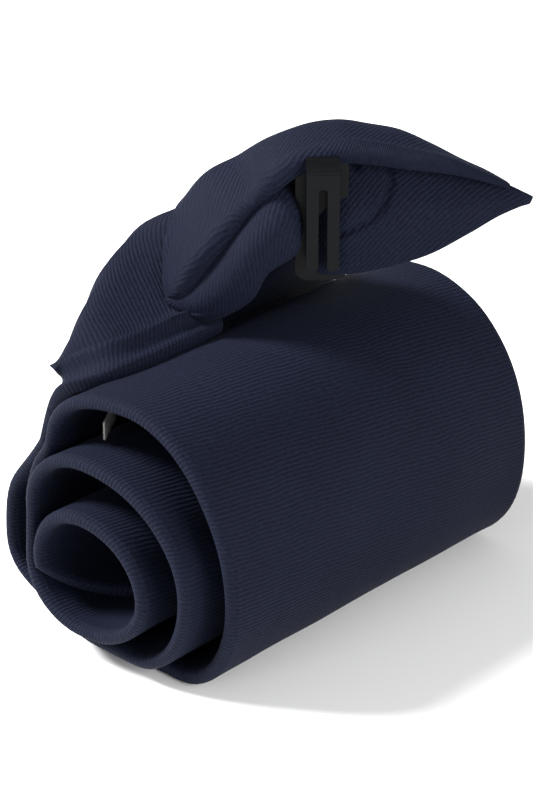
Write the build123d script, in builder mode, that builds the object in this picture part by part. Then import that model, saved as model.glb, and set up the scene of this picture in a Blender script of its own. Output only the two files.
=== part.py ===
"""A rolled-up clip-on necktie.

The blade is rolled round its own tip, a short neck climbs from the back of the roll
and the ready-tied knot lies on top with its plastic collar clip uppermost.

Millimetres, +Z up.  X runs along the axis of the roll, -Y is the front of the roll,
and Z = 0 is the surface that the roll lies on.
"""
from build123d import *
from math import cos, hypot, pi, radians, sin
import os

os.makedirs("parts", exist_ok=True)

# ---- driving dimensions ------------------------------------------------------------
blade_thickness = 2.2          # folded cloth with its interlining
cloth_thickness = 0.4
slit_half_width = 0.4          # gap between the two back flaps, closed by the slip stitch
tip_half_width = 42.0          # half the width across the corners of the pointed tip
neck_half_width = 36.5         # half the width where the blade leaves the roll
flush_edge_x = 42.0            # far edges of all the turns lie flush here
turn_pitch = 2.7               # distance from one tight turn to the next
roll_top_z = 48.2              # middle of the cloth at the top of the outer turn
roll_front_y = -24.5           # middle of the cloth at the front of the outer turn
lobe_back_y = 31.0             # middle of the cloth at the back of the loose outer lobe
blade_tip_blunt = 2.0          # half width left at the very point
steps_per_arc = 5

knot_x = 8.0                   # clip axis, in plan
knot_y = -6.3
knot_yaw = 45.0                # wing axis turned from +X towards -Y
right_wing_reach = 37.0        # from the clip axis to the pointed wing tip

clip_width = 9.0
clip_length = 23.0
clip_gap = 2.2                 # room for a shirt collar between fork and plate
clip_wall = 1.3
clip_top_z = 80.6
fork_width = 5.6
fork_length = 17.5
fork_slot = 1.5
fork_gap = 0.05                # the fork is one moulding with the plate

half_thick = blade_thickness / 2
ground_z = half_thick          # middle of the cloth where the roll lies on the surface


# ---- the route of the blade --------------------------------------------------------
def route_marks():
    """Compass points of the roll from the neck inwards: y, z and heading in degrees."""
    down = -90
    rear = turn_pitch
    return [
        (20.4, 41.4, -70),                              # pinch where the neck begins
        (24.0, 30.6, -58),
        (lobe_back_y, 13.2, down),                      # back of the loose lobe
        (24.4, 4.3, -158),
        (6.5, ground_z, 180),                           # flat stretch underneath
        (-11.3, ground_z, 180),
        (roll_front_y, 20.0, 90),                       # outer turn
        (-1.8, roll_top_z, 0),
        (14.5, 38.4, -80),                              # it sags onto the second turn
        (18.5, 30.2, -70),
        (19.4, 18.0, down),
        (3.2, ground_z + rear, 180),                    # second turn
        (-5.8, ground_z + rear, 180),
        (-17.9, 20.0, 90),
        (3.9, 37.6, 0),
        (16.6, 26.0, down),
        (16.6, 17.0, down),
        (4.2, ground_z + 2 * rear, 180),                # third turn
        (-10.1, 17.5, 90),
        (2.7, 28.0, 0),
        (13.8, 18.5, down),
        (3.9, ground_z + 3 * rear, 180),                # the pointed end lies inside it
        (-7.4, 17.0, 90),
        (2.7, 25.2, 0),
    ]


def unit(heading):
    return cos(radians(heading)), sin(radians(heading))


def arc_between(start, end, count):
    """Points and unit tangents on a curve like a quarter ellipse, which leaves and
    arrives on its two headings."""
    y0, z0, head0 = start
    y3, z3, head3 = end
    d0 = unit(head0)
    d3 = unit(head3)
    reach0 = 0.5523 * abs((y3 - y0) * d0[0] + (z3 - z0) * d0[1])
    reach3 = 0.5523 * abs((y3 - y0) * d3[0] + (z3 - z0) * d3[1])
    corners = [
        (y0, z0),
        (y0 + reach0 * d0[0], z0 + reach0 * d0[1]),
        (y3 - reach3 * d3[0], z3 - reach3 * d3[1]),
        (y3, z3),
    ]
    points = []
    for index in range(count):
        t = index / count
        share = ((1 - t) ** 3, 3 * t * (1 - t) ** 2, 3 * t * t * (1 - t), t ** 3)
        slope = ((1 - t) ** 2, 2 * t * (1 - t), t * t)
        y = sum(a * corner[0] for a, corner in zip(share, corners))
        z = sum(a * corner[1] for a, corner in zip(share, corners))
        dy = sum(a * (q[0] - p[0]) for a, p, q in zip(slope, corners, corners[1:]))
        dz = sum(a * (q[1] - p[1]) for a, p, q in zip(slope, corners, corners[1:]))
        points.append((y, z, dy / hypot(dy, dz), dz / hypot(dy, dz)))
    return points


def blade_route():
    """Middle line of the rolled blade, neck first, with its tangents.  A straight
    stretch takes one step."""
    marks = route_marks()
    points = []
    for start, end in zip(marks, marks[1:]):
        straight = start[2] == end[2]
        points += arc_between(start, end, 1 if straight else steps_per_arc)
    points.append((*marks[-1][:2], *unit(marks[-1][2])))
    return points


def blade_half_width(from_tip, length):
    """Half width of the blade at a distance from its point."""
    if from_tip < tip_half_width:
        return max(from_tip, blade_tip_blunt)
    along = (from_tip - tip_half_width) / (length - tip_half_width)
    return tip_half_width + along ** 1.5 * (neck_half_width - tip_half_width)


def blade_stations():
    """Planes across the blade, each with its half width, from the neck to the point."""
    route = blade_route()
    steps = [hypot(b[0] - a[0], b[1] - a[1]) for a, b in zip(route, route[1:])]
    length = sum(steps)
    stations = []
    travelled = 0.0
    for index, (y, z, dy, dz) in enumerate(route):
        half_width = blade_half_width(length - travelled, length)
        full_width = max(half_width, neck_half_width)
        if length - travelled < tip_half_width:
            full_width = tip_half_width
        centre_x = flush_edge_x - full_width
        plane = Plane(origin=(centre_x, y, z), x_dir=(1, 0, 0), z_dir=(0, dy, dz))
        stations.append((plane, half_width, blade_thickness, length - travelled))
        if index < len(steps):
            travelled += steps[index]
    return stations


def neck_stations():
    """Planes across the neck, from the pinch up into the knot."""
    marks = [
        # centre x, y, z, heading, half width, thickness
        (5.3, 20.5, 41.7, 110, 36.3, 2.4),
        (4.9, 19.9, 45.2, 98, 33.5, 3.4),
        (4.4, 19.7, 48.9, 92, 30.0, 4.8),
        (4.0, 19.7, 52.9, 92, 26.3, 6.2),
        (3.6, 19.4, 57.0, 98, 23.0, 7.6),
    ]
    stations = []
    for x, y, z, heading, half_width, thickness in marks:
        plane = Plane(origin=(x, y, z), x_dir=(-1, 0, 0), z_dir=(0, *unit(heading)))
        stations.append((plane, half_width, thickness, 0.0))
    return stations


# ---- sections across the blade -----------------------------------------------------
def shell_outline(half_width, thickness):
    """Folded cloth: front face, two rounded folds and two flaps with a slit between.

    The first axis is across the blade, the second points to its back."""
    w = half_width
    h = thickness / 2
    c = cloth_thickness
    r = min(0.7, w / 3, h * 0.6)
    g = slit_half_width
    return [
        (-g, h), (-w + r, h), (-w, h - r), (-w, r - h), (-w + r, -h),
        (w - r, -h), (w, r - h), (w, h - r), (w - r, h), (g, h),
        (g, h - c), (w - c, h - c), (w - c, c - h),
        (c - w, c - h), (c - w, h - c), (-g, h - c),
    ]


def strip_outline(half_width, low, high):
    return [(-half_width, low), (half_width, low), (half_width, high), (-half_width, high)]


def loft_along(stations, outline):
    """Loft one closed outline through a row of planes, straight from each to the next."""
    sections = []
    for plane, half_width, thickness, _ in stations:
        with BuildSketch(plane) as section:
            with BuildLine():
                Polyline(*outline(half_width, thickness), close=True)
            make_face()
        sections.append(section.sketch)
    loft(sections, ruled=True)


def interlining_outline(half_width, thickness):
    h = thickness / 2 - cloth_thickness - 0.1
    return strip_outline(max(half_width - cloth_thickness - 0.2, 0.8), -h, h - 0.32)


def tipping_outline(half_width, thickness):
    h = thickness / 2 - cloth_thickness
    return strip_outline(max(half_width - cloth_thickness - 0.3, 0.8), h - 0.32, h - 0.07)


def slip_stitches(stations):
    """Short stitches that lie in the slit between the flaps, one at each plane."""
    for plane, _, thickness, _ in stations:
        seat = plane.origin + plane.y_dir * (thickness / 2 - cloth_thickness)
        seat_plane = Plane(origin=seat, x_dir=plane.z_dir, z_dir=plane.y_dir)
        with BuildSketch(seat_plane) as stitch:
            SlotOverall(1.5, 0.45)
        extrude(stitch.sketch, amount=cloth_thickness - 0.05)


rolled = blade_stations()
pointed_end = [s for s in rolled if s[3] < 60]
stitched = [s for s in rolled if s[3] > 64]
neck = neck_stations()

# The stretch that lies on the surface is extruded, so that its underside is truly flat.
flat_start = [s[0].origin.Z for s in rolled].index(ground_z)
flat_plane, flat_half_width = rolled[flat_start][:2]
flat_end = rolled[flat_start + 1]
flat_length = (flat_end[0].origin - flat_plane.origin).length
rolled[flat_start + 1] = (flat_plane.offset(flat_length), flat_half_width, *flat_end[2:])

with BuildPart() as blade_shell:
    loft_along(rolled[:flat_start + 1], shell_outline)
    loft_along(rolled[flat_start + 1:], shell_outline)
    with BuildSketch(flat_plane):
        with BuildLine():
            Polyline(*shell_outline(flat_half_width, blade_thickness), close=True)
        make_face()
    extrude(amount=flat_length)
blade_shell.part.label = "blade_shell"

with BuildPart() as blade_interlining:
    loft_along(rolled[:-1], interlining_outline)
blade_interlining.part.label = "blade_interlining"

with BuildPart() as tip_lining:
    loft_along(pointed_end[:-1], tipping_outline)
tip_lining.part.label = "tip_lining"

with BuildPart() as blade_slip_stitch:
    slip_stitches(stitched[2:-4:5])
blade_slip_stitch.part.label = "blade_slip_stitch"

# A short bar tack across the slit, just above the opening of the back flaps.
tack_plane = stitched[-3][0]
with BuildPart() as blade_bar_tack:
    with BuildSketch(Plane(origin=tack_plane.origin + tack_plane.y_dir * (half_thick + 0.12),
                           x_dir=tack_plane.x_dir, z_dir=tack_plane.y_dir)):
        SlotOverall(9.0, 1.6)
    extrude(amount=0.25)
blade_bar_tack.part.label = "blade_bar_tack"

# ---- care label, hanging in the space under the outer turn -------------------------
label_near_x = -33.6
label_near_y = 5.2
label_length = 8.5
label_depth = 3.4
label_yaw = 32.7
with BuildPart() as care_label:
    with BuildSketch(Plane(origin=(label_near_x, label_near_y, 41.2),
                           x_dir=(cos(radians(label_yaw)), sin(radians(label_yaw)), 0),
                           z_dir=(sin(radians(label_yaw)), -cos(radians(label_yaw)), 0))):
        with Locations((label_length / 2, 0)):
            RectangleRounded(label_length, label_depth, 0.4)
    extrude(amount=0.3)
care_label.part.label = "care_label"

with BuildPart() as neck_shell:
    loft_along(neck, shell_outline)
neck_shell.part.label = "neck_shell"

with BuildPart() as neck_interlining:
    loft_along(neck, interlining_outline)
neck_interlining.part.label = "neck_interlining"

with BuildPart() as neck_slip_stitch:
    slip_stitches(neck[1:-1])
neck_slip_stitch.part.label = "neck_slip_stitch"

# ---- the knot ----------------------------------------------------------------------
# Its own directions: p along the wings, q out of its back towards the clip, z up.
wing_dir = Vector(cos(radians(knot_yaw)), -sin(radians(knot_yaw)), 0)
back_dir = Vector(-sin(radians(knot_yaw)), -cos(radians(knot_yaw)), 0)


def knot_point(p, q, z):
    return Vector(knot_x, knot_y, 0) + wing_dir * p + back_dir * q + Vector(0, 0, z)


def across_wing(p):
    """Plane square to the wing axis: its first axis is q, its second is z."""
    return Plane(origin=knot_point(p, 0, 0), x_dir=back_dir, z_dir=wing_dir * -1)


def on_back(q):
    """Plane parallel to the back of the knot: its first axis is p, its second is z."""
    return Plane(origin=knot_point(0, q, 0), x_dir=wing_dir, z_dir=back_dir)


def loft_wing(marks):
    """Rounded sections along the wing axis: p, q, z low, z high, thickness."""
    sections = []
    for p, q, low, high, thick in marks:
        height = high - low
        with BuildSketch(across_wing(p)) as section:
            with Locations((q, (low + high) / 2)):
                RectangleRounded(thick, height, min(thick, height) * 0.45)
        sections.append(section.sketch)
    loft(sections)


front_wrap_marks = [
    # p, q, z low, z high, thickness
    (-27.0, -11.5, 58.4, 66.0, 3.0),
    (-20.0, -14.0, 58.2, 71.8, 3.4),
    (-12.0, -14.2, 58.6, 77.8, 3.4),
    (0.0, -12.4, 58.0, 83.4, 3.4),
    (12.0, -10.2, 61.0, 82.0, 3.2),
    (25.0, -6.6, 66.5, 77.6, 2.6),
    (35.0, -3.4, 69.6, 73.2, 1.4),
]
right_wing_marks = [
    # p, q, z low, z high, thickness
    (5.0, -1.6, 58.5, 81.4, 6.4),
    (12.0, -1.4, 60.5, 80.8, 6.4),
    (20.0, -1.4, 63.6, 78.6, 5.2),
    (30.0, -1.3, 67.8, 74.8, 3.0),
    (right_wing_reach, -1.3, 70.4, 72.6, 1.6),
]

with BuildPart() as knot_front_wrap:
    loft_wing(front_wrap_marks)
knot_front_wrap.part.label = "knot_front_wrap"

with BuildPart() as knot_right_wing:
    loft_wing(right_wing_marks)
knot_right_wing.part.label = "knot_right_wing"

# The left wing is a rolled lobe that droops from the clip to the top of the roll.
left_wing_marks = [
    # p, z, half width across the lobe, half thickness
    (-7.0, 75.0, 3.0, 2.4),
    (-11.0, 70.4, 5.2, 3.6),
    (-15.5, 65.2, 5.9, 4.0),
    (-20.0, 59.4, 5.8, 4.0),
    (-23.4, 55.0, 4.4, 3.2),
    (-24.8, 53.2, 2.4, 1.8),
]
lobe_slope = Vector(-0.62, 0, -0.785)
with BuildPart() as knot_left_wing:
    for p, z, half_width, half_depth in left_wing_marks:
        lobe_plane = Plane(
            origin=knot_point(p, -1.2, z),
            x_dir=back_dir,
            z_dir=wing_dir * lobe_slope.X + Vector(0, 0, lobe_slope.Z),
        )
        with BuildSketch(lobe_plane):
            Ellipse(half_depth, half_width)
    loft()
knot_left_wing.part.label = "knot_left_wing"

with BuildPart() as knot_core:
    with BuildSketch(on_back(-8.2)):
        with Locations((0.5, 66.5)):
            RectangleRounded(22.0, 17.0, 5.0)
    extrude(amount=2.6)
knot_core.part.label = "knot_core"

# ---- stitches on the knot ----------------------------------------------------------
seam_marks = 13
with BuildPart() as knot_seam_stitches:
    for index in range(seam_marks):
        turn = radians(8 + 74 * index / (seam_marks - 1))
        p = 5.6 + 6.6 * cos(turn)
        z = 79.5 - 14.0 * sin(turn)
        with BuildSketch(on_back(1.85)):
            with Locations(Location((p, z), -60 + 60 * index / seam_marks)):
                SlotOverall(1.0, 0.35)
        extrude(amount=0.25)
knot_seam_stitches.part.label = "knot_seam_stitches"

with BuildPart() as clip_tack_stitches:
    for side in (-1, 1):
        with BuildSketch(on_back(-3.7)):
            with Locations((side * (clip_width / 2 - 1.2), 59.4)):
                SlotOverall(1.8, 0.5)
        extrude(amount=-0.3)
clip_tack_stitches.part.label = "clip_tack_stitches"

# ---- the collar clip ---------------------------------------------------------------
plate_q = -3.6
fork_q = plate_q + clip_wall + clip_gap
bend_radius = clip_gap / 2 + clip_wall
bend_z = clip_top_z - bend_radius
side_plane = Plane(origin=knot_point(-clip_width / 2, 0, 0), x_dir=back_dir,
                   z_dir=wing_dir)

with BuildPart() as clip_plate:
    with BuildSketch(on_back(plate_q)):
        with Locations((0, bend_z - (clip_length - bend_radius) / 2 + 1.0)):
            RectangleRounded(clip_width, clip_length - bend_radius + 2.0, 2.0)
    extrude(amount=clip_wall)
    bend_centre = (plate_q + bend_radius, bend_z)
    with BuildSketch(Plane(origin=knot_point(-fork_width / 2, 0, 0), x_dir=back_dir,
                           z_dir=wing_dir * -1)) as bend_section:
        with Locations(bend_centre):
            Circle(bend_radius)
            Circle(clip_gap / 2, mode=Mode.SUBTRACT)
        with Locations((bend_centre[0], bend_centre[1] - 5)):
            Rectangle(20, 10, mode=Mode.SUBTRACT)
    extrude(amount=-fork_width)
clip_plate.part.label = "clip_plate"

fork_top = bend_z - fork_gap
with BuildPart() as clip_fork:
    with BuildSketch(on_back(fork_q)):
        with Locations((0, fork_top - fork_length / 2)):
            Rectangle(fork_width, fork_length)
        with Locations((0, fork_top - fork_length / 2 - 3.0)):
            SlotOverall(fork_length + 1.0, fork_slot, rotation=90, mode=Mode.SUBTRACT)
    extrude(amount=clip_wall)
    tips = clip_fork.edges().filter_by(Axis((0, 0, 0), tuple(back_dir)))
    chamfer(tips.group_by(Axis.Z)[0], length=0.5)
clip_fork.part.label = "clip_fork"

pieces = [
    blade_shell, blade_interlining, tip_lining, blade_slip_stitch, blade_bar_tack,
    care_label, neck_shell, neck_interlining, neck_slip_stitch, knot_front_wrap,
    knot_left_wing, knot_right_wing, knot_core, knot_seam_stitches,
    clip_tack_stitches, clip_plate, clip_fork,
]
for piece in pieces:
    export_step(piece.part, f"parts/{piece.part.label}.step")
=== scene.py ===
import math

import bmesh
import bpy
import numpy as np
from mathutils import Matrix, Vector, noise


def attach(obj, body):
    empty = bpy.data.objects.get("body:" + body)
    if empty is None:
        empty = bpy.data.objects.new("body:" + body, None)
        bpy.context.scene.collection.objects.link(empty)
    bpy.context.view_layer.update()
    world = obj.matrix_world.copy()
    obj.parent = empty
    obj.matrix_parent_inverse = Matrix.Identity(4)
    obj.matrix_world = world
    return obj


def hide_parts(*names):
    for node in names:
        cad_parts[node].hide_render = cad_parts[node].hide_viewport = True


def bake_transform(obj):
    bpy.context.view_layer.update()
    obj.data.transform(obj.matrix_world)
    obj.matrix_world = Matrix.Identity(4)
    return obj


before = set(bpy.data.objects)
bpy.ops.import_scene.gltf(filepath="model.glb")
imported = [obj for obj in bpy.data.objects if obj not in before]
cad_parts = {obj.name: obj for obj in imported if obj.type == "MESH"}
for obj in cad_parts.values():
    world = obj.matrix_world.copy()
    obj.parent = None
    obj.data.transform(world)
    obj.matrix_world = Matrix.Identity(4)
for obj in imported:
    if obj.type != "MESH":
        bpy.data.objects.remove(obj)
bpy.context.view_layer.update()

# Looks of the rolled clip-on necktie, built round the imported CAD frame.  Shapes are
# worked out in millimetres in the CAD frame (+X along the roll, +Z up) and turned into
# metres when a mesh is made.
MM = 0.001

# ---- sizes shared with the CAD source, in millimetres ------------------------------
BLADE_THICK = 2.2
CLOTH = 0.4
SLIT_HALF = 0.4
TIP_HALF = 42.0
NECK_HALF = 36.5
FLUSH_EDGE_X = 42.0
PITCH = 2.7
GROUND = BLADE_THICK / 2
KNOT = np.array([8.0, -6.3, 0.0])
YAW = math.radians(45.0)
WING = np.array([math.cos(YAW), -math.sin(YAW), 0.0])
BACK = np.array([-math.sin(YAW), -math.cos(YAW), 0.0])
UP = np.array([0.0, 0.0, 1.0])

# ---- shaping of the cloth, in millimetres ------------------------------------------
NECK_THICK = 2.6
NECK_STATIONS = 44
NECK_FADE_STATIONS = 14.0       # the crease and rim die away over these towards the roll
NECK_CREASE_AT = 5.2            # from the near edge
NECK_CREASE_WIDTH = 1.3
NECK_CREASE_DEPTH = 2.2
NECK_RIM_AT = 1.4
NECK_RIM_WIDTH = 1.8
NECK_RIM_RISE = 0.7
TURN_SMOOTHING = 40             # passes over the rows where the neck leaves the roll
NEAR_LIFT = 1.3                 # the near bottom edge curls off the surface
NEAR_LIFT_FROM_X = -36.0
NEAR_LIFT_SPAN = 6.0
CLEAR_OF_FLOOR = 0.02
BLADE_TWILL_TURN = 7            # degrees
KNOT_TWILL_TURN = 40


# ---- camera, light and floor -------------------------------------------------------
def make_camera():
    azimuth, elevation = math.radians(-47.5), math.radians(26.0)
    target = Vector((0.0, -0.0008, 0.03695))
    back = Vector((math.sin(azimuth) * math.cos(elevation),
                   -math.cos(azimuth) * math.cos(elevation), math.sin(elevation)))
    data = bpy.data.cameras.new("camera")
    data.sensor_width = 36.0
    data.lens = 146.2
    data.clip_start, data.clip_end = 0.01, 10.0
    camera = bpy.data.objects.new("camera", data)
    bpy.context.scene.collection.objects.link(camera)
    camera.location = target + back * 0.560
    camera.rotation_mode = "QUATERNION"
    camera.rotation_quaternion = (-back).to_track_quat("-Z", "Y")
    bpy.context.scene.camera = camera


def make_light(name, place, target, size, power):
    data = bpy.data.lights.new(name, "AREA")
    data.shape = "DISK"
    data.size = size
    data.energy = power
    light = bpy.data.objects.new(name, data)
    bpy.context.scene.collection.objects.link(light)
    light.location = place
    light.rotation_mode = "QUATERNION"
    light.rotation_quaternion = (Vector(target) - Vector(place)).to_track_quat("-Z", "Y")


def make_studio():
    world = bpy.data.worlds.new("studio")
    world.use_nodes = True
    sky = world.node_tree.nodes["Background"]
    sky.inputs["Color"].default_value = (1.0, 1.0, 1.0, 1.0)
    sky.inputs["Strength"].default_value = 0.40
    bpy.context.scene.world = world
    bpy.context.scene.view_settings.view_transform = "Standard"
    make_light("key", (-0.45, 0.60, 0.70), (0, 0, 0.04), 0.30, 26.0)
    make_light("fill", (-0.10, -0.95, 0.45), (0, 0, 0.04), 0.6, 10.0)
    make_light("side", (-0.95, -0.10, 0.20), (0, 0, 0.03), 0.6, 3.5)
    bm = bmesh.new()
    bmesh.ops.create_grid(bm, x_segments=2, y_segments=2, size=3.0)
    mesh = bpy.data.meshes.new("floor")
    bm.to_mesh(mesh)
    bm.free()
    floor = bpy.data.objects.new("floor", mesh)
    bpy.context.scene.collection.objects.link(floor)
    paper = bpy.data.materials.new("pale_paper")
    paper.use_nodes = True
    shader = paper.node_tree.nodes["Principled BSDF"]
    shader.inputs["Base Color"].default_value = (0.93, 0.93, 0.93, 1.0)
    shader.inputs["Roughness"].default_value = 0.9
    mesh.materials.append(paper)


# ---- materials ---------------------------------------------------------------------
def new_material(name):
    material = bpy.data.materials.new(name)
    material.use_nodes = True
    nodes, links = material.node_tree.nodes, material.node_tree.links
    return material, nodes, links, nodes["Principled BSDF"]


def math_node(nodes, links, operation, first, second=None, third=None):
    node = nodes.new("ShaderNodeMath")
    node.operation = operation
    for socket, value in zip(node.inputs, (first, second, third)):
        if value is None:
            continue
        if isinstance(value, (int, float)):
            socket.default_value = value
        else:
            links.new(value, socket)
    return node.outputs[0]


def twill(name, dark, light, wale=0.74, thread=0.37):
    """Woven twill in the cloth's own UV, which is in millimetres, wales along u."""
    material, nodes, links, shader = new_material(name)
    uv = nodes.new("ShaderNodeUVMap")
    split = nodes.new("ShaderNodeSeparateXYZ")
    links.new(uv.outputs["UV"], split.inputs[0])
    u, v = split.outputs["X"], split.outputs["Y"]

    def noise_of(u_scale, v_scale, detail, rough=0.5):
        place = nodes.new("ShaderNodeCombineXYZ")
        links.new(math_node(nodes, links, "MULTIPLY", u, u_scale), place.inputs["X"])
        links.new(math_node(nodes, links, "MULTIPLY", v, v_scale), place.inputs["Y"])
        texture = nodes.new("ShaderNodeTexNoise")
        texture.inputs["Scale"].default_value = 1.0
        texture.inputs["Detail"].default_value = detail
        texture.inputs["Roughness"].default_value = rough
        links.new(place.outputs[0], texture.inputs["Vector"])
        return texture.outputs[0]

    # a little waviness, so that the wales aren't ruled lines
    bend = math_node(nodes, links, "MULTIPLY", noise_of(0.16, 0.16, 1.0), 0.9)
    turns = 2 * math.pi
    across = math_node(nodes, links, "ADD", v, bend)
    wales = math_node(nodes, links, "SINE",
                      math_node(nodes, links, "MULTIPLY", across, turns / wale))
    slant = math_node(nodes, links, "ADD", u, v)
    warp = math_node(nodes, links, "SINE",
                     math_node(nodes, links, "MULTIPLY", slant, turns / thread))
    dashes = noise_of(1.0, 3.0, 2.0, 0.6)
    fleck = noise_of(2.4, 2.8, 3.0, 0.75)
    cloud = noise_of(0.06, 0.06, 2.0)
    height = math_node(nodes, links, "MULTIPLY_ADD", warp, 0.35, wales)
    height = math_node(nodes, links, "MULTIPLY_ADD", dashes, 2.2, height)
    shade = math_node(nodes, links, "MULTIPLY_ADD", wales, 0.13, -0.62)
    shade = math_node(nodes, links, "MULTIPLY_ADD", warp, 0.04, shade)
    shade = math_node(nodes, links, "MULTIPLY_ADD", dashes, 0.80, shade)
    shade = math_node(nodes, links, "MULTIPLY_ADD", fleck, 1.15, shade)
    shade = math_node(nodes, links, "MULTIPLY_ADD", cloud, 0.25, shade)
    mix = nodes.new("ShaderNodeMix")
    mix.data_type = "RGBA"
    mix.inputs["A"].default_value = (*dark, 1.0)
    mix.inputs["B"].default_value = (*light, 1.0)
    links.new(shade, mix.inputs["Factor"])
    links.new(mix.outputs["Result"], shader.inputs["Base Color"])

    bump = nodes.new("ShaderNodeBump")
    bump.inputs["Strength"].default_value = 0.5
    bump.inputs["Distance"].default_value = 0.00009
    links.new(height, bump.inputs["Height"])
    links.new(bump.outputs[0], shader.inputs["Normal"])
    links.new(math_node(nodes, links, "MULTIPLY_ADD", fleck, 0.25, 0.55),
              shader.inputs["Roughness"])
    shader.inputs["Sheen Weight"].default_value = 0.02
    shader.inputs["Sheen Roughness"].default_value = 0.45
    shader.inputs["Sheen Tint"].default_value = (0.55, 0.62, 0.95, 1.0)
    shader.inputs["Specular IOR Level"].default_value = 0.05
    return material


def plastic(name):
    """Black moulded plastic: fine mould texture and a few scuffs."""
    material, nodes, links, shader = new_material(name)
    place = nodes.new("ShaderNodeTexCoord")
    grain = nodes.new("ShaderNodeTexNoise")
    grain.inputs["Scale"].default_value = 2600.0
    grain.inputs["Detail"].default_value = 3.0
    links.new(place.outputs["Object"], grain.inputs["Vector"])
    scuff = nodes.new("ShaderNodeTexNoise")
    scuff.inputs["Scale"].default_value = 240.0
    scuff.inputs["Detail"].default_value = 4.0
    links.new(place.outputs["Object"], scuff.inputs["Vector"])
    mix = nodes.new("ShaderNodeMix")
    mix.data_type = "RGBA"
    mix.inputs["A"].default_value = (0.0020, 0.0024, 0.0028, 1.0)
    mix.inputs["B"].default_value = (0.0050, 0.0054, 0.0060, 1.0)
    links.new(scuff.outputs[0], mix.inputs["Factor"])
    links.new(mix.outputs["Result"], shader.inputs["Base Color"])
    rough = math_node(nodes, links, "MULTIPLY_ADD", scuff.outputs[0], 0.25, 0.22)
    links.new(rough, shader.inputs["Roughness"])
    bump = nodes.new("ShaderNodeBump")
    bump.inputs["Strength"].default_value = 0.15
    bump.inputs["Distance"].default_value = 0.00003
    links.new(grain.outputs[0], bump.inputs["Height"])
    links.new(bump.outputs[0], shader.inputs["Normal"])
    shader.inputs["Specular IOR Level"].default_value = 0.07
    return material


def tape(name):
    """Pale satin tape: a fine weave with a little unevenness."""
    material, nodes, links, shader = new_material(name)
    place = nodes.new("ShaderNodeTexCoord")
    weave = nodes.new("ShaderNodeTexWave")
    weave.inputs["Scale"].default_value = 900.0
    weave.inputs["Distortion"].default_value = 1.5
    links.new(place.outputs["Object"], weave.inputs["Vector"])
    mix = nodes.new("ShaderNodeMix")
    mix.data_type = "RGBA"
    mix.inputs["A"].default_value = (0.16, 0.16, 0.15, 1.0)
    mix.inputs["B"].default_value = (0.24, 0.24, 0.225, 1.0)
    links.new(weave.outputs["Fac"], mix.inputs["Factor"])
    links.new(mix.outputs["Result"], shader.inputs["Base Color"])
    shader.inputs["Roughness"].default_value = 0.6
    return material


# ---- mesh helpers ------------------------------------------------------------------
def catmull(points, t):
    """Point on a smooth curve through points, at t from 0 to len(points) - 1."""
    last = len(points) - 1
    i = min(int(t), last - 1)
    f = t - i
    p1, p2 = points[i], points[i + 1]
    p0 = points[i - 1] if i > 0 else 2 * p1 - p2
    p3 = points[i + 2] if i + 2 <= last else 2 * p2 - p1
    return 0.5 * (2 * p1 + (p2 - p0) * f + (2 * p0 - 5 * p1 + 4 * p2 - p3) * f * f
                  + (3 * p1 - p0 - 3 * p2 + p3) * f * f * f)


def unit(vector):
    return vector / max(np.linalg.norm(vector), 1e-9)


def grid_mesh(name, rows, uvs, tube=False):
    """Quad mesh through rows of points in millimetres, with a UV for each corner.  A tube
    joins each row's ends and closes its two mouths."""
    rows = np.asarray(rows, float)
    uvs = np.asarray(uvs, float)
    count, width = rows.shape[:2]
    bm = bmesh.new()
    layer = bm.loops.layers.uv.new("UVMap")
    verts = [[bm.verts.new(p * MM) for p in row] for row in rows]
    across = width if tube else width - 1
    for i in range(count - 1):
        for j in range(across):
            j2 = (j + 1) % width
            face = bm.faces.new((verts[i][j], verts[i][j2],
                                 verts[i + 1][j2], verts[i + 1][j]))
            face.smooth = True
            corners = ((i, j), (i, j + 1), (i + 1, j + 1), (i + 1, j))
            for loop, (a, b) in zip(face.loops, corners):
                loop[layer].uv = uvs[a][b]
    if tube:
        for i in (0, count - 1):
            loop = verts[i] if i else verts[i][::-1]
            face = bm.faces.new(loop)
            face.smooth = True
            for corner in face.loops:
                corner[layer].uv = (corner.vert.co.x / MM, corner.vert.co.z / MM)
    bmesh.ops.recalc_face_normals(bm, faces=bm.faces)
    mesh = bpy.data.meshes.new(name)
    bm.to_mesh(mesh)
    bm.free()
    piece = bpy.data.objects.new(name, mesh)
    bpy.context.scene.collection.objects.link(piece)
    return piece


def ripple(points, size, amount, seed):
    """Small soft unevenness, the same on every run."""
    start = Vector((seed, seed * 1.7, seed * 0.3))
    shifts = [start, start + Vector((31.4, 5.9, 2.6)), start + Vector((7.3, 47.1, 11.8))]
    moved = np.array(points, float)
    for index in np.ndindex(moved.shape[:-1]):
        p = Vector(moved[index] / size)
        moved[index] += amount * np.array([noise.noise(p + shift) for shift in shifts])
    return moved


# ---- the route of the blade, as in the CAD source ----------------------------------
def route_marks():
    down = -90
    return [
        (20.4, 41.4, -70), (23.2, 31.2, -57), (31.0, 13.2, down), (24.4, 4.3, -158),
        (6.5, GROUND, 180), (-11.3, GROUND, 180), (-24.5, 20.0, 90), (-1.8, 48.2, 0),
        (14.5, 38.4, -80), (18.5, 30.2, -70), (19.4, 18.0, down),
        (3.2, GROUND + PITCH, 180), (-5.8, GROUND + PITCH, 180), (-17.9, 20.0, 90),
        (3.9, 37.6, 0), (16.6, 26.0, down), (16.6, 17.0, down),
        (4.2, GROUND + 2 * PITCH, 180), (-10.1, 17.5, 90), (2.7, 28.0, 0),
        (13.8, 18.5, down), (3.9, GROUND + 3 * PITCH, 180), (-7.4, 17.0, 90),
        (2.7, 25.2, 0),
    ]


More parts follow.
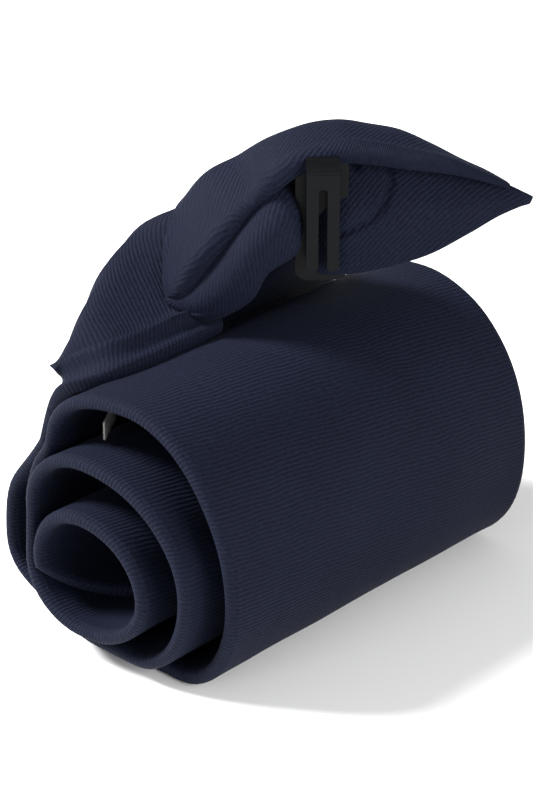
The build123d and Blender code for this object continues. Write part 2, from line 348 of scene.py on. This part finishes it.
def arc_between(start, end, count):
    y0, z0, head0 = start
    y3, z3, head3 = end
    d0 = np.array([math.cos(math.radians(head0)), math.sin(math.radians(head0))])
    d3 = np.array([math.cos(math.radians(head3)), math.sin(math.radians(head3))])
    p0, p3 = np.array([y0, z0]), np.array([y3, z3])
    p1 = p0 + d0 * 0.5523 * abs((p3 - p0) @ d0)
    p2 = p3 - d3 * 0.5523 * abs((p3 - p0) @ d3)
    points = []
    for index in range(count):
        t = index / count
        points.append((1 - t) ** 3 * p0 + 3 * t * (1 - t) ** 2 * p1
                      + 3 * t * t * (1 - t) * p2 + t ** 3 * p3)
    return points


def blade_route(step=1.6):
    """Evenly spaced points along the middle of the rolled blade, neck first."""
    marks = route_marks()
    fine = []
    for start, end in zip(marks, marks[1:]):
        fine += arc_between(start, end, 40)
    fine.append(np.array(marks[-1][:2]))
    fine = np.array(fine)
    gone = np.concatenate([[0], np.cumsum(np.linalg.norm(np.diff(fine, axis=0), axis=1))])
    count = int(gone[-1] / step)
    at = np.linspace(0, gone[-1], count)
    return np.stack([np.interp(at, gone, fine[:, 0]), np.interp(at, gone, fine[:, 1])],
                    axis=1), at


# ---- the blade and neck ------------------------------------------------------------
def fold_profile(half_width, thick, columns=22, turns=6):
    """Points (across, through, girth) round the folded cloth, from slit edge to slit
    edge: back flap, rounded fold, front, rounded fold, back flap."""
    h = thick / 2
    puff = 1.12 * h
    inner = max(half_width - puff, SLIT_HALF + 0.2)
    reach = inner - SLIT_HALF
    back = [(-SLIT_HALF - reach * math.sin(a), h)
            for a in np.linspace(0, math.pi / 2, columns)]
    left = [(-inner - puff * math.sin(a), puff * math.cos(a))
            for a in np.linspace(0, math.pi, turns + 2)[1:-1]]
    front = [(inner * math.sin(a), -h)
             for a in np.linspace(-math.pi / 2, math.pi / 2, 2 * columns)]
    points = back + left + front
    points += [(-x, y) for x, y in reversed(left)] + [(-x, y) for x, y in reversed(back)]
    shaped = []
    girth = 0.0
    before = None
    for x, y in points:
        swell = 1 + 0.12 * math.exp(-((half_width - abs(x)) / 3.5) ** 2)
        y = y * swell if abs(x) < inner else y
        if before is not None:
            girth += math.hypot(x - before[0], y - before[1])
        shaped.append((x, y, girth))
        before = (x, y)
    return shaped


def blade_half_width(from_tip, length):
    if from_tip < TIP_HALF:
        return max(from_tip, 2.0)
    along = (from_tip - TIP_HALF) / (length - TIP_HALF)
    return TIP_HALF + along ** 1.5 * (NECK_HALF - TIP_HALF)


# Lines across the neck, each from the near edge to the far edge, going up from the
# pinch at the back of the roll into the knot.
NECK_LINES = [
    [(-31.0, 20.4, 41.4), (-27.0, 20.5, 41.4), (-20.0, 20.6, 41.4), (3.0, 20.7, 41.4),
     (24.0, 20.6, 41.4), (42.0, 20.4, 41.4)],
    [(-31.0, 17.0, 44.2), (-28.6, 19.2, 43.9), (-25.5, 20.9, 44.6), (0.0, 21.0, 44.8),
     (20.0, 20.8, 44.6), (40.5, 19.6, 44.2)],
    [(-30.2, 12.2, 47.0), (-26.8, 17.4, 46.9), (-23.0, 21.8, 48.3), (-2.0, 21.5, 49.0),
     (18.0, 20.6, 48.2), (37.0, 18.0, 47.2)],
    [(-27.3, 8.4, 48.9), (-22.5, 15.6, 49.6), (-19.0, 22.8, 52.6), (-3.0, 22.6, 53.6),
     (15.0, 20.4, 51.8), (33.0, 16.6, 50.0)],
    [(-20.0, 6.8, 49.6), (-16.0, 14.2, 50.2), (-12.6, 24.0, 57.4), (-1.0, 22.6, 58.6),
     (13.0, 18.6, 55.6), (29.0, 14.0, 52.6)],
    [(-12.0, 6.2, 49.8), (-9.0, 12.6, 51.2), (-5.6, 23.2, 62.2), (3.0, 19.8, 62.8),
     (13.0, 15.4, 59.4), (25.0, 11.0, 55.6)],
    [(-4.0, 5.6, 50.2), (-2.0, 10.6, 53.0), (1.6, 15.6, 67.0), (6.0, 12.6, 68.0),
     (13.0, 9.0, 65.0), (20.0, 6.0, 61.0)],
]


def blade_lines():
    """Every station along the tie from knot to point: the line across it as six
    points, its half width and its thickness."""
    lines = []
    neck = [np.array(line, float) for line in NECK_LINES]
    for index in range(NECK_STATIONS):
        t = (len(neck) - 1) * (1 - index / NECK_STATIONS)
        line = np.array([catmull([row[k] for row in neck], t) for k in range(6)])
        width = sum(np.linalg.norm(b - a) for a, b in zip(line, line[1:]))
        lines.append((line, width / 2, NECK_THICK))
    route, at = blade_route()
    length = at[-1]
    for (y, z), gone in zip(route, at):
        left = length - gone
        half = blade_half_width(left, length)
        full = max(half, NECK_HALF) if left > TIP_HALF else TIP_HALF
        centre = FLUSH_EDGE_X - full
        line = np.array([(centre + half * k, y, z) for k in (-1, -0.6, -0.2, 0.2, 0.6, 1)])
        lines.append((line, half, BLADE_THICK))
    return lines


def line_point(line, share):
    """Point on a line across the tie, share from -1 at the near edge to 1."""
    return catmull(line, (share + 1) / 2 * (len(line) - 1))


def tie_rows(profile, lines):
    """Rows of points along the tie for a profile round its folded section."""
    middles = np.array([line_point(line, 0) for line, _, _ in lines])
    travelled = np.concatenate(
        [[0], np.cumsum(np.linalg.norm(np.diff(middles, axis=0), axis=1))])
    rows, uvs = [], []
    last = len(lines) - 1
    for index, (line, half, thick) in enumerate(lines):
        before = lines[max(index - 1, 0)][0]
        after = lines[min(index + 1, last)][0]
        row, uv = [], []
        section = profile(half, thick)
        middle_girth = section[len(section) // 2][2]
        for x, y, girth in section:
            share = max(-1.0, min(1.0, x / half))
            here = line_point(line, share)
            side = line_point(line, min(share + 0.12, 1)) - line_point(
                line, max(share - 0.12, -1))
            along = line_point(after, share) - line_point(before, share)
            normal = unit(np.cross(unit(side), unit(along)))
            if index < NECK_STATIONS:
                from_rim = np.linalg.norm(here - line[0])
                sink = math.exp(-((from_rim - NECK_CREASE_AT) / NECK_CREASE_WIDTH) ** 2)
                rise = math.exp(-((from_rim - NECK_RIM_AT) / NECK_RIM_WIDTH) ** 2)
                fade = min(1.0, (NECK_STATIONS - index) / NECK_FADE_STATIONS)
                depth = NECK_CREASE_DEPTH * sink - NECK_RIM_RISE * rise
                here = here + normal * fade * depth
            row.append(here - normal * y)
            uv.append((girth - middle_girth, travelled[index]))
        rows.append(row)
        uvs.append(uv)
    return np.array(rows), np.array(uvs)


def make_blade_and_neck(material):
    rows, uvs = tie_rows(fold_profile, blade_lines())
    rows = ripple(rows, size=16.0, amount=0.35, seed=3.0)
    # the cloth turns gently where the neck leaves the roll
    first, last = NECK_STATIONS - 9, NECK_STATIONS + 6
    for _ in range(TURN_SMOOTHING):
        rows[first:last] = (rows[first - 1:last - 1] + 2 * rows[first:last]
                            + rows[first + 1:last + 1]) / 4
    near = np.clip((NEAR_LIFT_FROM_X - rows[..., 0]) / NEAR_LIFT_SPAN, 0.0, 1.0)
    low = np.clip((NEAR_LIFT_SPAN - rows[..., 2]) / NEAR_LIFT_SPAN, 0.0, 1.0)
    rows[..., 2] += NEAR_LIFT * near * near * low
    rows[..., 2] = np.maximum(rows[..., 2], CLEAR_OF_FLOOR)
    uvs = turn_uv(uvs, BLADE_TWILL_TURN)
    neck = sheet_piece("neck_cloth", rows[:NECK_STATIONS + 1], uvs[:NECK_STATIONS + 1],
                       material)
    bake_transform(neck)
    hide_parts("neck_shell", "neck_slip_stitch", "neck_interlining")
    blade = sheet_piece("blade_cloth", rows[NECK_STATIONS:], uvs[NECK_STATIONS:], material)
    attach(blade, "roll")
    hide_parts("blade_shell", "blade_slip_stitch", "blade_bar_tack",
                "blade_interlining", "tip_lining")


def sheet_piece(name, rows, uvs, material):
    """One folded sheet of cloth, given the cloth's thickness by a solidify modifier."""
    piece = grid_mesh(name, rows, uvs)
    piece.data.materials.append(material)
    solidify = piece.modifiers.new("solidify", "SOLIDIFY")
    solidify.thickness = CLOTH * MM
    solidify.offset = -1.0
    return piece


# ---- the knot ----------------------------------------------------------------------
# Each wall of the knot is a soft pad swept along its length.  A mark gives the middle of
# its rim at the slit, of its crest and of its lower rim as (p, q, z), and its thickness.
# p runs along the wings, q out of the back of the knot, z up.
WRAP = [
    # the strap over the front, from the pointed wing tip to the drooping left end
    ((31.6, -2.1, 74.4), (31.3, -3.0, 74.3), (31.0, -3.8, 73.6), 1.1),
    ((26.2, -2.0, 76.6), (25.6, -5.2, 75.9), (26.0, -8.0, 69.5), 2.2),
    ((20.7, -2.0, 78.5), (20.2, -7.2, 77.1), (20.0, -11.0, 65.5), 3.2),
    ((13.2, -2.3, 80.0), (13.4, -9.2, 79.2), (12.0, -15.0, 61.0), 3.8),
    ((8.0, -2.8, 80.6), (7.6, -10.6, 79.8), (6.5, -17.0, 58.5), 4.2),
    ((2.6, -3.4, 80.6), (1.9, -11.6, 80.0), (0.5, -18.2, 57.0), 4.5),
    ((-4.8, -3.2, 78.4), (-5.6, -12.6, 78.0), (-7.0, -18.8, 57.0), 4.5),
    ((-10.4, -2.8, 74.0), (-12.2, -13.0, 74.8), (-15.0, -18.0, 60.0), 4.5),
    ((-15.4, -2.0, 68.6), (-18.2, -11.6, 71.4), (-21.4, -14.0, 67.0), 4.3),
    ((-20.6, -1.4, 62.0), (-22.8, -8.4, 64.0), (-24.6, -9.6, 62.6), 4.1),
    ((-23.6, -1.6, 57.6), (-24.8, -5.0, 58.2), (-25.2, -6.4, 58.0), 3.8),
    ((-24.7, -2.2, 55.5), (-25.2, -3.8, 55.5), (-25.3, -4.3, 55.2), 3.4),
    # round the end and back along the lobe
    ((-24.2, -3.0, 55.0), (-24.5, -2.3, 54.3), (-24.4, -2.2, 53.8), 3.5),
    ((-20.6, -4.2, 57.6), (-20.4, -0.6, 55.6), (-19.8, -0.6, 53.6), 5.0),
    ((-16.2, -4.6, 63.0), (-15.0, 0.4, 60.0), (-13.6, -0.2, 57.4), 5.6),
    ((-12.6, -4.8, 67.8), (-11.6, 0.5, 65.0), (-10.6, -0.2, 62.4), 5.6),
    ((-9.4, -5.2, 72.4), (-7.6, -0.2, 69.0), (-6.0, -0.8, 65.4), 5.4),
    ((-6.9, -5.6, 73.8), (-5.6, -1.6, 70.8), (-4.6, -1.8, 67.2), 4.2),
    ((-5.2, -5.8, 73.2), (-4.8, -3.2, 71.2), (-4.2, -3.2, 69.2), 2.2),
]
RIGHT_WING = [
    ((-3.2, -7.0, 75.4), (-3.0, -5.0, 68.3), (-2.6, -3.4, 61.4), 1.2),
    ((-1.0, -7.0, 76.4), (-1.0, -3.8, 68.3), (-0.6, -2.6, 60.0), 2.6),
    ((4.0, -6.8, 76.8), (4.3, -2.2, 68.7), (4.6, -2.2, 60.4), 3.4),
    ((12.2, -6.6, 76.6), (12.0, -1.8, 69.4), (11.9, -2.0, 61.8), 3.4),
    ((20.5, -5.6, 75.4), (20.0, -1.9, 70.1), (19.4, -1.9, 64.2), 3.0),
    ((26.0, -4.6, 74.3), (25.4, -2.0, 70.8), (24.8, -1.9, 66.9), 2.5),
    ((31.2, -3.4, 73.2), (30.7, -2.4, 71.5), (30.2, -2.1, 69.7), 2.0),
    ((34.2, -2.5, 72.3), (33.9, -2.3, 71.6), (33.6, -2.3, 71.0), 1.5),
    ((35.6, -2.4, 71.8), (35.5, -2.4, 71.6), (35.4, -2.4, 71.4), 1.1),
]
# the curved seam across the back of the right wing, and the dart above it
SEAM = [(11.7, 80.2), (12.0, 77.8), (11.8, 74.9), (10.7, 72.0), (8.1, 69.1),
        (5.2, 67.5), (3.0, 66.4)]
DART = [(4.8, 79.2), (5.4, 78.0), (6.0, 77.0)]
SEWN_FACE_Q = -6.4              # only cloth nearer than this is sunk by the sewing


def knot_place(p, q, z):
    return KNOT + WING * p + BACK * q + UP * z


def knot_axes(point):
    local = point - KNOT
    return local @ WING, local @ BACK, local[2]


def distance_to_line(p, z, line):
    best = 99.0
    for (p0, z0), (p1, z1) in zip(line, line[1:]):
        dp, dz = p1 - p0, z1 - z0
        t = max(0, min(1, ((p - p0) * dp + (z - z0) * dz) / (dp * dp + dz * dz)))
        best = min(best, math.hypot(p - p0 - t * dp, z - z0 - t * dz))
    return best


def pad_rows(marks, count, sides=60, bends=10):
    """Closed loops round a padded wall that follows its marks."""
    lines = [[knot_place(*mark[k]) for mark in marks] for k in range(3)]
    sizes = [np.array([mark[3]]) for mark in marks]
    last = len(marks) - 1
    rows, uvs = [], []
    gone = 0.0
    before = None
    for index in range(count):
        t = last * index / (count - 1)
        half = max(catmull(sizes, t)[0], 0.8) / 2
        here = [catmull(line, t) for line in lines]
        ahead = sum(catmull(line, min(t + 0.08, last)) - catmull(line, max(t - 0.08, 0))
                    for line in lines)
        spine = [catmull(here, 2 * k / sides) for k in range(sides + 1)]
        slopes = [unit(spine[min(k + 1, sides)] - spine[max(k - 1, 0)])
                  for k in range(sides + 1)]
        outs = [unit(np.cross(slope, ahead)) for slope in slopes]
        loop = [p + out * half for p, out in zip(spine, outs)]
        loop += [spine[-1] + slopes[-1] * half * math.sin(a) + outs[-1] * half * math.cos(a)
                 for a in np.linspace(0, math.pi, bends + 2)[1:-1]]
        loop += [p - out * half for p, out in zip(spine[::-1], outs[::-1])]
        loop += [spine[0] - slopes[0] * half * math.sin(a) - outs[0] * half * math.cos(a)
                 for a in np.linspace(0, math.pi, bends + 2)[1:-1]]
        uv = [0.0]
        for first, second in zip(loop, loop[1:] + loop[:1]):
            uv.append(uv[-1] + np.linalg.norm(second - first))
        if before is not None:
            gone += np.linalg.norm(here[1] - before)
        before = here[1]
        rows.append(loop)
        uvs.append([(g, gone) for g in uv])
    return np.array(rows), np.array(uvs)


def turn_uv(uvs, degrees):
    """Turn the weave in its own plane."""
    c, s = math.cos(math.radians(degrees)), math.sin(math.radians(degrees))
    return np.stack([uvs[..., 0] * c - uvs[..., 1] * s,
                     uvs[..., 0] * s + uvs[..., 1] * c], axis=-1)


def groove(rows, line, depth, width):
    """Sink the back face of the knot along a sewn line."""
    for index in np.ndindex(rows.shape[:2]):
        p, q, z = knot_axes(rows[index])
        if q > SEWN_FACE_Q:
            near = distance_to_line(p, z, line)
            rows[index] -= BACK * depth * math.exp(-(near / width) ** 2)
    return rows


def make_knot(material):
    for name, marks, count in (("knot_wrap_cloth", WRAP, 260),
                               ("knot_right_cloth", RIGHT_WING, 220)):
        rows, uvs = pad_rows(marks, count)
        rows = ripple(rows, size=8.0, amount=0.30, seed=11.0)
        if name == "knot_right_cloth":
            rows = groove(rows, SEAM, depth=1.0, width=0.55)
            rows = groove(rows, DART, depth=0.9, width=0.6)
        piece = grid_mesh(name, rows, turn_uv(uvs, KNOT_TWILL_TURN), tube=True)
        piece.data.materials.append(material)
        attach(piece, "knot")
    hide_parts("knot_front_wrap", "knot_left_wing", "knot_core")
    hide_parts("knot_right_wing", "knot_seam_stitches", "clip_tack_stitches")


make_camera()
make_studio()
navy = twill("navy_twill", (0.0008, 0.0012, 0.0034), (0.0105, 0.0132, 0.0285))
make_blade_and_neck(navy)
make_knot(navy)
black = plastic("black_plastic")
satin = tape("label_tape")
for node, material in (("clip_plate", black), ("clip_fork", black), ("care_label", satin)):
    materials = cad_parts[node].data.materials
    materials.clear()
    materials.append(material)
